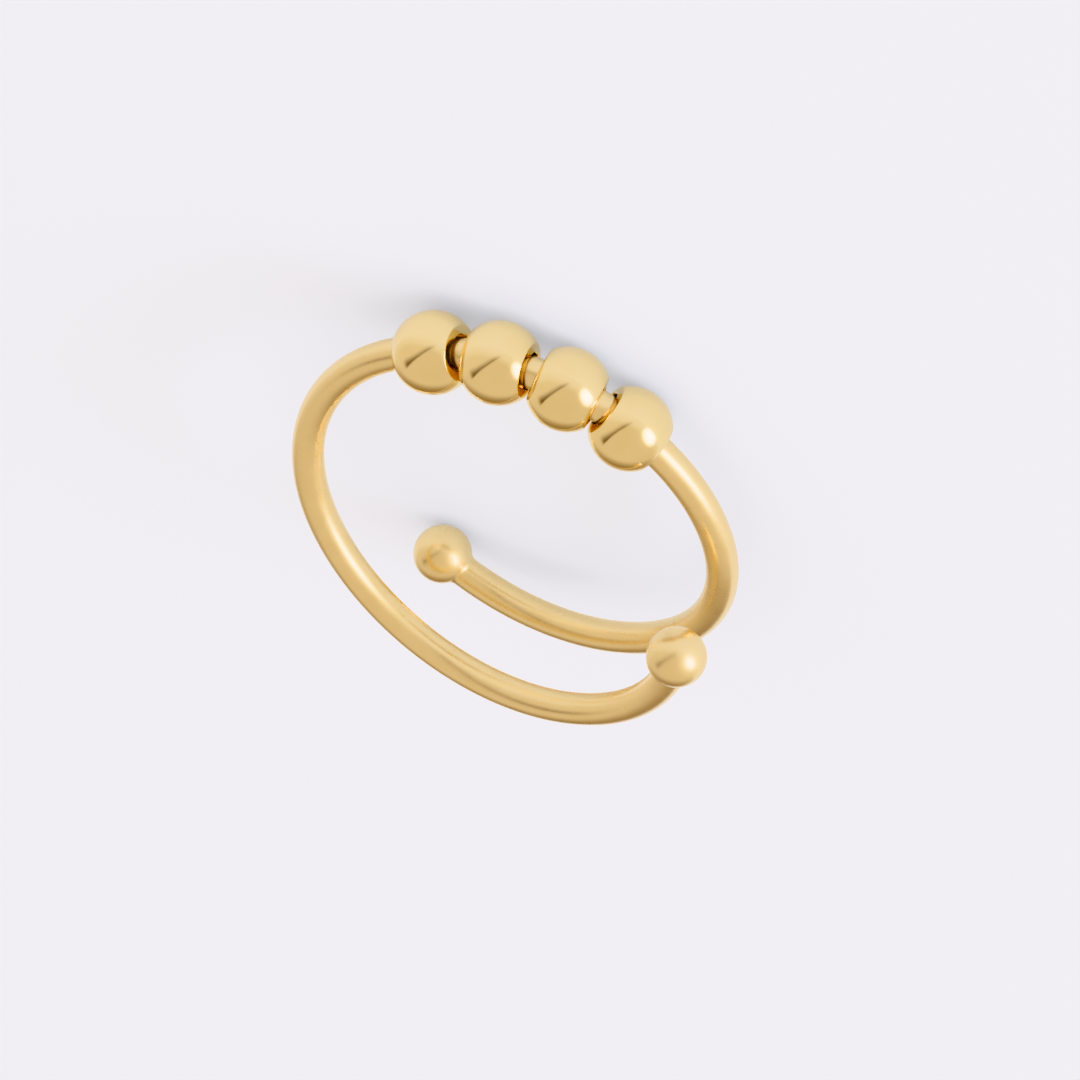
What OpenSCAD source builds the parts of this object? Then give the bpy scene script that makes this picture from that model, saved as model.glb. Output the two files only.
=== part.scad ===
// Open spinner ring: one round wire wound a turn and a third, with a soldered
// ball on each end and four plain beads that turn and slide on the wire.
// The ring lies on its side on the floor plane as it comes to rest by itself,
// on its lower end ball and on the two beads that are nearest to it.

/* [Band] */
// Inner diameter of the wound wire, which is the finger size
inner_d = 17.4; // [14:0.1:23]
// Diameter of the round wire
wire_d = 1.4; // [1:0.05:1.6]
// Length of the wire, as an angle around the finger
wire_angle = 470; // [420:0.5:500]
// Twist of the winding at the middle of the wire
twist_angle_middle = 7.9; // [6:0.1:10]
// Twist of the winding a quarter turn from the middle
twist_angle_side = 5.7; // [4:0.1:8]
// Twist of the winding half a turn from the middle
twist_angle_end = 4.4; // [3:0.1:6]

/* [End balls] */
// Diameter of the ball on each end of the wire
ball_d = 2.6; // [2.2:0.05:3]
// Radius of the solder fillet between a ball and the wire
fillet_r = 0.35; // [0.2:0.05:0.6]

/* [Beads] */
// Diameter of a bead
bead_d = 3.6; // [3.2:0.05:3.8]
// Length of a bead along its hole
bead_l = 2.82; // [2.2:0.01:2.84]
// Clearance between the wire and the hole of a bead, on each side
bore_gap = 0.1; // [0.1:0.01:0.25]
// Gap between two beads on the inside of the ring, where their ends come closest
bead_gap = 0.04; // [0.04:0.01:0.5]
// Angle along the wire from its lower end to the middle of the row of beads
row_angle = 203.9; // [190:0.1:220]
// Width of the broken edge at each end of a bead's hole
edge_w = 0.04; // [0.02:0.01:0.1]

/* [Hidden] */
// The node that is drawn, of these
// Resolution of the round faces
$fn = 96;
// Number of beads in the row
bead_count = 4;
// The wire is four quarter turns about its middle, and an arc at each end with what is left
quarter_angle = 90;
end_angle = wire_angle / 2 - 2 * quarter_angle;
// Angle between the places along the wire from which the box of the ring is worked out
look_angle = 2;
// Depth to which the fillet's round runs under the surfaces that it joins
dip = 0.01;
// Length by which a cutter passes the face that it cuts
over = 0.1;

// Radius of the wire's centreline, of the wire, of an end ball and of a bead
run_r = (inner_d + wire_d) / 2;
wire_r = wire_d / 2;
ball_r = ball_d / 2;
bead_r = bead_d / 2;
bore_r = wire_r + bore_gap;
// The wire curves inside a bead, so the bead sits inwards by half of the arc's height
bead_in = (run_r - sqrt(pow(run_r, 2) - pow(bead_l / 2, 2))) / 2;
// Angle around the finger from one bead to the next
bead_pitch = 2 * atan((bead_l + bead_gap) / (2 * (run_r - bead_in - bore_r)));
// A bead's ends are shallow cones, so that two of them lie flat together on the inside of the ring
end_cone_h = bead_l / 2 + bore_r * tan(bead_pitch / 2);
end_cone_r = end_cone_h / tan(bead_pitch / 2);

// A place is a point and three directions: outwards, along the wire and across it
function along(p, turn) = [
  p[0] + run_r * ((cos(turn) - 1) * p[1] + sin(turn) * p[2]),
  cos(turn) * p[1] + sin(turn) * p[2],
  cos(turn) * p[2] - sin(turn) * p[1],
  p[3]
];
function twisted(p, turn) = [
  p[0],
  cos(turn) * p[1] - sin(turn) * p[3],
  p[2],
  sin(turn) * p[1] + cos(turn) * p[3]
];

// The wire as it is wound, with its middle at the origin: where each arc starts
middle = [[0, 0, 0], [1, 0, 0], [0, 1, 0], [0, 0, 1]];
upper_2 = twisted(along(middle, quarter_angle), twist_angle_side);
upper_3 = twisted(along(upper_2, quarter_angle), twist_angle_end);
lower_1 = along(twisted(middle, -twist_angle_middle), -quarter_angle);
lower_2 = along(twisted(lower_1, -twist_angle_side), -quarter_angle);
lower_3 = along(twisted(lower_2, -twist_angle_end), -end_angle);
arcs = [lower_3, lower_2, lower_1, middle, upper_2, upper_3];
function arc_at(turn) = turn < end_angle
  ? 0
  : min(len(arcs) - 1, 1 + floor((turn - end_angle) / quarter_angle));
function arc_from(i) = i == 0 ? 0 : end_angle + (i - 1) * quarter_angle;
function place(turn) = along(arcs[arc_at(turn)], turn - arc_from(arc_at(turn)));
function bead_angle(k) = row_angle + (k - (bead_count + 1) / 2) * bead_pitch;
function inwards(p, by) = [p[0] - by * p[1], p[1], p[2], p[3]];
function bead_place(k) = inwards(place(bead_angle(k)), bead_in);

// The upward direction of a floor on which three balls a, b and c stand
function unit(v) = v / norm(v);
function up_over(a, ra, b, rb, c, rc) = let (
  u = unit(b - a),
  w = unit((c - a) - ((c - a) * u) * u),
  rise_u = (rb - ra) / norm(b - a),
  rise_w = (rc - ra - rise_u * ((c - a) * u)) / ((c - a) * w)
) rise_u * u + rise_w * w + sqrt(1 - pow(rise_u, 2) - pow(rise_w, 2)) * cross(u, w);
up = up_over(place(0)[0], ball_r, bead_place(1)[0], bead_r, bead_place(2)[0], bead_r);

// The laid ring has the row of beads at the front, and its box stands centred on the floor
across_ring = place(row_angle)[0] - place(row_angle - 2 * quarter_angle)[0];
front = unit(across_ring - (across_ring * up) * up);
side = cross(up, front);
function seen(v) = [v * side, -v * front, v * up];
balls = concat(
  [for (t = [0 : look_angle : wire_angle]) [seen(place(t)[0]), wire_r]],
  [for (t = [0, wire_angle]) [seen(place(t)[0]), ball_r]],
  [for (k = [1 : bead_count]) [seen(bead_place(k)[0]), bead_r]]
);
function least(i) = min([for (b = balls) b[0][i] - b[1]]);
function most(i) = max([for (b = balls) b[0][i] + b[1]]);
shift = [(least(0) + most(0)) / 2, (least(1) + most(1)) / 2, least(2)];
function laid(p) = [seen(p[0]) - shift, seen(p[1]), seen(p[2]), seen(p[3])];

module at(p) {
  multmatrix([
    [p[1][0], p[2][0], p[3][0], p[0][0]],
    [p[1][1], p[2][1], p[3][1], p[0][1]],
    [p[1][2], p[2][2], p[3][2], p[0][2]],
    [0, 0, 0, 1]
  ])
    children();
}

// An arc of wire that leaves the origin along +Y
module arc(turn) {
  translate([-run_r, 0, 0])
    rotate_extrude(angle = turn)
      translate([run_r, 0])
        circle(r = wire_r);
}

// What follows a quarter turn, which keeps the ends of two arcs exactly on each other
module past_quarter(twist) {
  translate([-run_r, run_r, 0])
    rotate([0, 0, quarter_angle])
      rotate([0, twist, 0])
        children();
}

// A ball with its solder fillet, which points along +Z to the wire
fillet_x = wire_r + fillet_r - dip;
fillet_z = sqrt(pow(ball_r + fillet_r - dip, 2) - pow(fillet_x, 2));
// Half of the wire's turn under the fillet, by which the fillet leans with the wire
fillet_lean = asin(fillet_z / (2 * run_r));

module end_ball() {
  sphere(r = ball_r);
  rotate_extrude()
    difference() {
      polygon([[0, 0], [fillet_x, fillet_z], [0, fillet_z]]);
      translate([fillet_x, fillet_z])
        circle(r = fillet_r);
    }
}

module end_arc() {
  arc(end_angle);
  translate([run_r * (cos(end_angle) - 1), run_r * sin(end_angle), 0])
    rotate([0, 0, end_angle - fillet_lean])
      rotate([90, 0, 0])
        end_ball();
}

module half_wire() {
  arc(quarter_angle);
  past_quarter(twist_angle_side) {
    arc(quarter_angle);
    past_quarter(twist_angle_end)
      end_arc();
  }
}

// The lower half is the upper one turned over about the outward direction
module band() {
  color("gold")
    at(laid(middle)) {
      half_wire();
      rotate([0, -twist_angle_middle, 0])
        rotate([180, 0, 0])
          half_wire();
    }
}

module bead_end() {
  cylinder(r1 = end_cone_r, r2 = 0, h = end_cone_h);
}

module bead_end_cut() {
  translate([0, 0, bead_l / 2 - edge_w])
    cylinder(r1 = bore_r, r2 = bore_r + edge_w + over, h = edge_w + over);
}

module bead(k) {
  color("gold")
    at(laid(bead_place(k)))
      rotate([-90, 0, 0])
        difference() {
          intersection() {
            sphere(r = bead_r);
            union() {
              bead_end();
              mirror([0, 0, 1])
                bead_end();
            }
          }
          cylinder(r = bore_r, h = 2 * (end_cone_h + over), center = true);
          bead_end_cut();
          mirror([0, 0, 1])
            bead_end_cut();
        }
}

band();
bead(1);  // bead_1
bead(2);  // bead_2
bead(3);  // bead_3
bead(4);  // bead_4
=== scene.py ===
"""Polished open spinner ring with four turning beads, lying on a pale studio floor."""
from math import acos, asin, atan, cos, degrees, pi, radians, sin, sqrt, tan

import bmesh
import bpy
from mathutils import Matrix, Vector


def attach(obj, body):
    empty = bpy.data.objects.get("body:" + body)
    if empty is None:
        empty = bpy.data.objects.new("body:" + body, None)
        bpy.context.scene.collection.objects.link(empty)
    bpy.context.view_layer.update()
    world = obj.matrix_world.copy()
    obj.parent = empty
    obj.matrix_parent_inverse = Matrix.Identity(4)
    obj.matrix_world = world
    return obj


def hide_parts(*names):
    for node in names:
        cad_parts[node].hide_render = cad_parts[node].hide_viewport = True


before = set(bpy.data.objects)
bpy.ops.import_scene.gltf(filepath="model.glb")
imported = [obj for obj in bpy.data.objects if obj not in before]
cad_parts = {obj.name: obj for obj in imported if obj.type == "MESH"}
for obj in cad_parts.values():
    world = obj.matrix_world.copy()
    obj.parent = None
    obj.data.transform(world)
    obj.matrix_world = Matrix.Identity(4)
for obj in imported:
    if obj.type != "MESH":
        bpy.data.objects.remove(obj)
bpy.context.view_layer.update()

# Millimetres and degrees, as on the drawing of the ring
MM = 0.001
INNER_DIAMETER = 17.4
WIRE_RADIUS = 0.7
RUN_RADIUS = INNER_DIAMETER / 2 + WIRE_RADIUS
WIRE_ANGLE = 470
QUARTER = 90
END_ANGLE = WIRE_ANGLE / 2 - 2 * QUARTER
TWIST_MIDDLE = 7.9
TWIST_SIDE = 5.7
TWIST_END = 4.4
BALL_RADIUS = 1.3
FILLET_RADIUS = 0.35
NECK_LENGTH = sqrt((BALL_RADIUS + FILLET_RADIUS) ** 2 - (WIRE_RADIUS + FILLET_RADIUS) ** 2)
NECK_LEAN = degrees(asin(NECK_LENGTH / (2 * RUN_RADIUS)))
BEAD_RADIUS = 1.8
BEAD_LENGTH = 2.82
BORE_RADIUS = 0.8
EDGE_WIDTH = 0.04
RIM_RADIUS = 0.12
BEAD_GAP = 0.04
ROW_ANGLE = 203.9
BEADS = 4

# The middle of the wire as the ring lies: outwards, along the wire and across it, then the point
MIDDLE = Matrix(
    (
        (0.513704226, 0.856813830, 0.044475051, 5.026222614),
        (-0.837020436, 0.511873164, -0.193345942, -7.619754488),
        (-0.188427062, 0.062096101, 0.980122093, 2.058108652),
        (0, 0, 0, 1),
    )
)

# Fineness of the round faces, how near points count as one, and the angle past which an edge is sharp
WIRE_SIDES = 64
WIRE_STEP = 1.5
BEAD_SIDES = 160
BEAD_ARC_STEPS = 48
RIM_STEPS = 10
FILLET_STEPS = 10
BALL_STEPS = 44
SAME_POINT = 0.0001
SHARP_ANGLE = 30

# Part of a cone's width that its outermost strip takes, so that the rim's shading stays on the rim
OUTER_STRIP = 0.1

# Camera: nearly parallel rays, as of a long macro lens. It sees between two distances, in metres
AIM = Vector((-1.350, 0.808, 3.482))
DISTANCE = 282.37
AZIMUTH = -12.052
ELEVATION = 29.191
ROLL = -151.393
FOCAL_LENGTH = 221.108
SENSOR_WIDTH = 36
NEAREST = 0.01
FARTHEST = 10

# Gold plate: its palest and warmest tone, and its lowest and highest roughness. The beads shine more
WIRE_TONES = ("F5DDA8", "EDD398")
BEAD_TONES = ("F8E0A9", "F0D799")
WIRE_ROUGHNESS = (0.24, 0.32)
BEAD_ROUGHNESS = (0.09, 0.15)

# Width of a patch of the plate, and width and depth of the drum's dents. Real dents are finer and
# shallower, and these are as coarse as they need to be to bend a mirrored edge
PATCH_WIDTH = 1.1 * MM
DENT_WIDTH = 0.7 * MM
WIRE_DENTS = 0.004 * MM
BEAD_DENTS = 0.003 * MM

# Studio walls: each edge is the direction that it faces, and where along that its change starts and ends
CREAM_EDGE = ((0.793, -0.266, -0.548), -0.029, 0.001)
GAP_END = ((0.6, 0.8, 0), 0.5, 0.75)
SWEEP_EDGE = ((0.808, -0.389, -0.442), 0.07, 0.4)
BACK_EDGE = ((0, 1, 0), 0.6, 1)
FOOT_EDGE = ((0, 0.2, 0.98), -0.15, 0.4)
SWEEP_COLOUR = "E8DED4"
GAP_COLOUR = "6B5236"
CREAM_COLOUR = "E1D6CA"
BACK_COLOUR = "9C866A"
FOOT_COLOUR = "FBF9FD"
WALL_BRIGHTNESS = 1.12

# Floor: metres from its middle to each side, its colour, and the painted glow of its surface, which
# lightens the shadows on it with no lamp behind it
FLOOR_REACH = 2
FLOOR_COLOUR = "D1D5E5"
FLOOR_PAINTED_GLOW_COLOUR = "FDFDFF"
FLOOR_PAINTED_GLOW = 0.46

# Softbox, in degrees and metres. A brightness of 1 would show as white
SOFTBOX_AZIMUTH = -70
SOFTBOX_ELEVATION = 11
SOFTBOX_DISTANCE = 0.9
SOFTBOX_WIDTH = 0.95
SOFTBOX_HEIGHT = 0.62
SOFTBOX_BRIGHTNESS = 20

# Its middle in shares of its width and height, and how far from there it is dark and fully bright
SOFTBOX_MIDDLE = (0.5, 0.5, 0)
SOFTBOX_DARK = 0.5
SOFTBOX_BRIGHT = 0.12

# Mirrorings that a ray of light may take in the gaps between the beads
MIRRORINGS = 12


# Places along the wire


def turned(axis, angle):
    return Matrix.Rotation(radians(angle), 4, axis)


def along(place, turn):
    """The place that is reached by following the wire's round through a turn."""
    to_centre = Matrix.Translation((-RUN_RADIUS, 0, 0))
    return place @ to_centre @ turned("Z", turn) @ to_centre.inverted()


def lower_half(place, twist, turn):
    """The place where an arc of the lower half starts, from the place where it ends."""
    return along(place @ turned("Y", -twist), -turn)


LOWER_SIDE = lower_half(MIDDLE, TWIST_MIDDLE, QUARTER)
LOWER_BACK = lower_half(LOWER_SIDE, TWIST_SIDE, QUARTER)
LOWER_END = lower_half(LOWER_BACK, TWIST_END, END_ANGLE)
ARCS = (
    (END_ANGLE, TWIST_END),
    (QUARTER, TWIST_SIDE),
    (QUARTER, TWIST_MIDDLE),
    (QUARTER, TWIST_SIDE),
    (QUARTER, TWIST_END),
    (END_ANGLE, 0),
)


def place_at(turn):
    """The place at an angle along the wire from its lower end."""
    place = LOWER_END
    for arc, twist in ARCS:
        if turn <= arc:
            return along(place, turn)
        place = along(place, arc) @ turned("Y", twist)
        turn -= arc
    return along(place, turn)


# Meshes


def finish_piece(name, bm, material, node, body):
    """Closes a mesh, brings it from millimetres to metres and puts it in place of a node."""
    bmesh.ops.remove_doubles(bm, verts=bm.verts, dist=SAME_POINT)
    bmesh.ops.recalc_face_normals(bm, faces=bm.faces)
    bmesh.ops.scale(bm, vec=(MM, MM, MM), verts=bm.verts)
    mesh = bpy.data.meshes.new(name)
    bm.to_mesh(mesh)
    bm.free()
    mesh.shade_smooth()
    mesh.set_sharp_from_angle(angle=radians(SHARP_ANGLE))
    mesh.materials.append(material)
    piece = bpy.data.objects.new(name, mesh)
    bpy.context.scene.collection.objects.link(piece)
    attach(piece, body)
    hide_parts(node)


def ends_of(geometry):
    """The vertices of what an operator made, and the edges that run between them."""
    verts = [g for g in geometry if isinstance(g, bmesh.types.BMVert)]
    kept = set(verts)
    edges = [g for g in geometry if isinstance(g, bmesh.types.BMEdge) and kept.issuperset(g.verts)]
    return verts, edges


def wind_wire(bm, clear):
    """The round wire, which stops short of both ends by an angle. Gives its two open rims."""
    place = along(LOWER_END, clear)
    across = place @ turned("X", QUARTER)
    rim = bmesh.ops.create_circle(bm, radius=WIRE_RADIUS, segments=WIRE_SIDES, matrix=across)
    first = rim["verts"]
    last = first + list({e for v in first for e in v.link_edges})
    for number, (arc, twist) in enumerate(ARCS):
        turn = arc - clear if number in (0, len(ARCS) - 1) else arc
        made = bmesh.ops.spin(
            bm,
            geom=last,
            cent=place @ Vector((-RUN_RADIUS, 0, 0)),
            axis=place.col[2].xyz,
            angle=radians(turn),
            steps=round(turn / WIRE_STEP),
        )
        last = made["geom_last"]
        place = along(place, turn) @ turned("Y", twist)
    return first, [g for g in last if isinstance(g, bmesh.types.BMVert)]


def ball_profile():
    """Radius and distance from the ball's centre, from the wire over the fillet to the far pole."""
    fillet_x = WIRE_RADIUS + FILLET_RADIUS
    sweep = acos(fillet_x / (BALL_RADIUS + FILLET_RADIUS))
    points = []
    for i in range(1, FILLET_STEPS + 1):
        angle = pi + sweep * i / FILLET_STEPS
        points.append((fillet_x + FILLET_RADIUS * cos(angle), NECK_LENGTH + FILLET_RADIUS * sin(angle)))
    for i in range(1, BALL_STEPS + 1):
        angle = pi / 2 - sweep + (pi / 2 + sweep) * i / BALL_STEPS
        points.append((BALL_RADIUS * sin(angle), BALL_RADIUS * cos(angle)))
    return points


def grow_ball(bm, rim, ball):
    """The solder fillet and the ball, drawn out of the wire's open rim. Z points from ball to rim."""
    straighten = Matrix.Rotation(radians(NECK_LEAN), 3, ball.col[1].xyz)
    bmesh.ops.rotate(bm, cent=ball @ Vector((0, 0, NECK_LENGTH)), matrix=straighten, verts=rim)
    edges = [e for e in {e for v in rim for e in v.link_edges} if e.is_boundary]
    radius, height = WIRE_RADIUS, NECK_LENGTH
    for new_radius, new_height in ball_profile():
        made = bmesh.ops.extrude_edge_only(bm, edges=edges)["geom"]
        verts, edges = ends_of(made)
        scale = Matrix.Diagonal((new_radius / radius, new_radius / radius, 1, 1))
        move = Matrix.Translation((0, 0, new_height - height))
        bmesh.ops.transform(bm, matrix=ball @ move @ scale @ ball.inverted(), verts=verts)
        radius, height = new_radius, new_height


def add_band(material):
    bm = bmesh.new()
    first, last = wind_wire(bm, 2 * NECK_LEAN)
    grow_ball(bm, first, LOWER_END @ turned("Z", NECK_LEAN) @ turned("X", -QUARTER))
    grow_ball(bm, last, place_at(WIRE_ANGLE) @ turned("Z", -NECK_LEAN) @ turned("X", QUARTER))
    finish_piece("wire_band", bm, material, "band", "band")


def spin_on(bm, vert, centre, angle, steps):
    """Draws an arc of the bead's outline from a vertex. Gives the arc's last vertex."""
    cent = (*centre, 0)
    arc = bmesh.ops.spin(bm, geom=[vert], cent=cent, axis=(0, 0, -1), angle=angle, steps=steps)
    return [g for g in arc["geom_last"] if isinstance(g, bmesh.types.BMVert)][0]


def add_bead(number, material):
    """A ball with a hole along the wire, and round-rimmed shallow cones as its ends."""
    half = BEAD_LENGTH / 2
    shift = (RUN_RADIUS - sqrt(RUN_RADIUS**2 - half**2)) / 2
    slope = atan((half + BEAD_GAP / 2) / (RUN_RADIUS - shift - BORE_RADIUS))
    place = place_at(ROW_ANGLE + (number - (BEADS + 1) / 2) * 2 * degrees(slope))
    place = place @ Matrix.Translation((-shift, 0, 0))

    # Each rim is an arc that touches the ball and the cone
    cone = Vector((sin(slope), cos(slope)))
    cone_height = cone.dot((BORE_RADIUS, half))
    sweep = acos((cone_height - RIM_RADIUS) / (BEAD_RADIUS - RIM_RADIUS))
    rim_angle = slope + sweep
    rim = (BEAD_RADIUS - RIM_RADIUS) * Vector((sin(rim_angle), cos(rim_angle)))
    edge = EDGE_WIDTH / (1 + tan(slope))

    bm = bmesh.new()
    start = bm.verts.new((BEAD_RADIUS * sin(rim_angle), BEAD_RADIUS * cos(rim_angle), 0))
    end = spin_on(bm, start, (0, 0), pi - 2 * rim_angle, BEAD_ARC_STEPS)
    end = spin_on(bm, end, (rim.x, -rim.y), sweep, RIM_STEPS)
    touch = Vector(end.co.xy)
    inner = Vector((BORE_RADIUS + edge, -half + edge * tan(slope)))
    corners = [touch.lerp(inner, OUTER_STRIP), inner, Vector((BORE_RADIUS, EDGE_WIDTH - half))]
    corners += [Vector((c.x, -c.y)) for c in reversed(corners)]
    corners.append(Vector((touch.x, -touch.y)))
    for corner in corners:
        nearer = bm.verts.new((corner.x, corner.y, 0))
        bm.edges.new((end, nearer))
        end = nearer
    spin_on(bm, end, (rim.x, rim.y), sweep, RIM_STEPS)
    bmesh.ops.remove_doubles(bm, verts=bm.verts, dist=SAME_POINT)
    bmesh.ops.spin(
        bm,
        geom=bm.verts[:] + bm.edges[:],
        cent=(0, 0, 0),
        axis=(0, 1, 0),
        angle=2 * pi,
        steps=BEAD_SIDES,
        use_merge=True,
    )
    bmesh.ops.transform(bm, matrix=place, verts=bm.verts)
    name = f"bead_{number}"
    finish_piece(f"gold_bead_{number}", bm, material, name, name)


# Materials


def linear(code):
    """Linear colour of a six-digit sRGB code."""
    parts = [int(code[i : i + 2], 16) / 255 for i in (0, 2, 4)]
    return [p / 12.92 if p <= 0.04045 else ((p + 0.055) / 1.055) ** 2.4 for p in parts] + [1]


def add_node(tree, kind, settings=None, **links):
    """A new node, with its properties set and its sockets set or linked by name."""
    node = tree.nodes.new(kind)
    for name, value in (settings or {}).items():
        setattr(node, name, value)
    for name, value in links.items():
        socket = node.inputs[name.replace("_", " ")]
        if isinstance(value, bpy.types.NodeSocket):
            tree.links.new(value, socket)
        else:
            socket.default_value = value
    return node


def new_material(name, **values):
    """A material, with the values set on its shader's own sockets."""
    material = bpy.data.materials.new(name)
    material.use_nodes = True
    shader = material.node_tree.nodes["Principled BSDF"]
    for socket, value in values.items():
        shader.inputs[socket.replace("_", " ")].default_value = value
    return material, material.node_tree, shader


def polished_gold(name, tones, roughness, dents):
    """Gold-plated brass from the polishing drum: a soft mirror whose plate is a little paler and
    hazier in patches, over the shallow dents that the drum leaves."""
    pale, warm = tones
    low, high = roughness
    material, tree, shader = new_material(name, Metallic=1)
    place = add_node(tree, "ShaderNodeTexCoord").outputs["Object"]
    patches = add_node(tree, "ShaderNodeTexNoise", Vector=place, Scale=1 / PATCH_WIDTH, Detail=3)
    patch = patches.outputs["Fac"]
    tone = add_node(tree, "ShaderNodeMixRGB", Fac=patch, Color1=linear(pale), Color2=linear(warm))
    rough = add_node(tree, "ShaderNodeMapRange", Value=patch, To_Min=high, To_Max=low)
    hollows = add_node(tree, "ShaderNodeTexNoise", Vector=place, Scale=1 / DENT_WIDTH, Detail=1)
    bump = add_node(tree, "ShaderNodeBump", Height=hollows.outputs["Fac"], Distance=dents)
    tree.links.new(tone.outputs["Color"], shader.inputs["Base Color"])
    tree.links.new(rough.outputs["Result"], shader.inputs["Roughness"])
    tree.links.new(bump.outputs["Normal"], shader.inputs["Normal"])
    return material


def studio_floor():
    """Matt opal acrylic that glows by itself, a painted light with no lamp behind it: pale and even,
    with a cool cast and light shadows.
    """
    return new_material(
        "opal_acrylic_painted_glow",
        Base_Color=linear(FLOOR_COLOUR),
        Roughness=0.95,
        Specular_IOR_Level=0.1,
        # Painted light: the floor's own glow, which keeps the ring's shadows on it light
        Emission_Color=linear(FLOOR_PAINTED_GLOW_COLOUR),
        Emission_Strength=FLOOR_PAINTED_GLOW,
    )[0]


# Studio


def add_floor():
    bm = bmesh.new()
    bmesh.ops.create_grid(bm, x_segments=1, y_segments=1, size=FLOOR_REACH)
    mesh = bpy.data.meshes.new("floor")
    bm.to_mesh(mesh)
    bm.free()
    floor = bpy.data.objects.new("floor", mesh)
    bpy.context.scene.collection.objects.link(floor)
    mesh.materials.append(studio_floor())


def soft_step(tree, value, start, end):
    """A soft change from 0 to 1, while a value runs from its start to its end."""
    smooth = {"interpolation_type": "SMOOTHSTEP"}
    fade = add_node(tree, "ShaderNodeMapRange", smooth, Value=value, From_Min=start, From_Max=end)
    return fade.outputs["Result"]


def past(tree, direction, edge):
    """How far a direction lies past an edge of the walls, from 0 to 1."""
    faced, start, end = edge
    height = add_node(tree, "ShaderNodeVectorMath", {"operation": "DOT_PRODUCT"})
    tree.links.new(direction, height.inputs[0])
    height.inputs[1].default_value = faced
    return soft_step(tree, height.outputs["Value"], start, end)


def add_walls():
    """Cream walls and a slightly paler sweep, with a short dark gap between them that narrows to one
    side. They darken softly behind the ring, and are as pale as the floor at their foot."""
    world = bpy.data.worlds.new("studio")
    bpy.context.scene.world = world
    world.use_nodes = True
    tree = world.node_tree
    direction = add_node(tree, "ShaderNodeTexCoord").outputs["Generated"]
    colour = linear(CREAM_COLOUR)
    edges = (
        (CREAM_EDGE, GAP_COLOUR),
        (GAP_END, CREAM_COLOUR),
        (SWEEP_EDGE, SWEEP_COLOUR),
        (BACK_EDGE, BACK_COLOUR),
    )
    for edge, code in edges:
        side = past(tree, direction, edge)
        mix = add_node(tree, "ShaderNodeMixRGB", Fac=side, Color1=colour, Color2=linear(code))
        colour = mix.outputs["Color"]
    above = past(tree, direction, FOOT_EDGE)
    front = add_node(tree, "ShaderNodeMixRGB", Fac=above, Color1=linear(FOOT_COLOUR), Color2=colour)
    background = tree.nodes["Background"]
    tree.links.new(front.outputs["Color"], background.inputs["Color"])
    background.inputs["Strength"].default_value = WALL_BRIGHTNESS


def looking(azimuth, elevation, roll, distance, at):
    """A place at a distance from a point, facing it. Azimuth 0 is in front, at -Y."""
    turn = turned("Z", azimuth) @ turned("X", QUARTER - elevation) @ turned("Z", roll)
    return Matrix.Translation(at) @ turn @ Matrix.Translation((0, 0, distance))


def add_softbox():
    """A softbox that faces the ring, brightest at its middle."""
    light = bpy.data.lights.new("key_softbox", "AREA")
    light.shape = "RECTANGLE"
    light.size = SOFTBOX_WIDTH
    light.size_y = SOFTBOX_HEIGHT
    light.energy = SOFTBOX_BRIGHTNESS * SOFTBOX_WIDTH * SOFTBOX_HEIGHT * pi
    light.use_nodes = True
    tree = light.node_tree
    across = add_node(tree, "ShaderNodeNewGeometry").outputs["Parametric"]
    offset = add_node(tree, "ShaderNodeVectorMath", {"operation": "DISTANCE"})
    tree.links.new(across, offset.inputs[0])
    offset.inputs[1].default_value = SOFTBOX_MIDDLE
    glow = soft_step(tree, offset.outputs["Value"], SOFTBOX_DARK, SOFTBOX_BRIGHT)
    tree.links.new(glow, tree.nodes["Emission"].inputs["Strength"])
    lamp = bpy.data.objects.new("key_softbox", light)
    bpy.context.scene.collection.objects.link(lamp)
    lamp.matrix_world = looking(SOFTBOX_AZIMUTH, SOFTBOX_ELEVATION, 0, SOFTBOX_DISTANCE, Vector())


def add_camera():
    data = bpy.data.cameras.new("camera")
    data.sensor_width = SENSOR_WIDTH
    data.lens = FOCAL_LENGTH
    data.clip_start = NEAREST
    data.clip_end = FARTHEST
    camera = bpy.data.objects.new("camera", data)
    bpy.context.scene.collection.objects.link(camera)
    camera.matrix_world = looking(AZIMUTH, ELEVATION, ROLL, DISTANCE * MM, AIM * MM)
    bpy.context.scene.camera = camera


add_camera()
wire_gold = polished_gold("polished_gold_wire", WIRE_TONES, WIRE_ROUGHNESS, WIRE_DENTS)
bead_gold = polished_gold("polished_gold_bead", BEAD_TONES, BEAD_ROUGHNESS, BEAD_DENTS)
add_band(wire_gold)
for number in range(1, BEADS + 1):
    add_bead(number, bead_gold)

add_floor()
add_walls()
add_softbox()
bpy.context.scene.cycles.glossy_bounces = MIRRORINGS
bpy.context.scene.cycles.caustics_reflective = False
bpy.context.scene.view_settings.view_transform = "Khronos PBR Neutral"
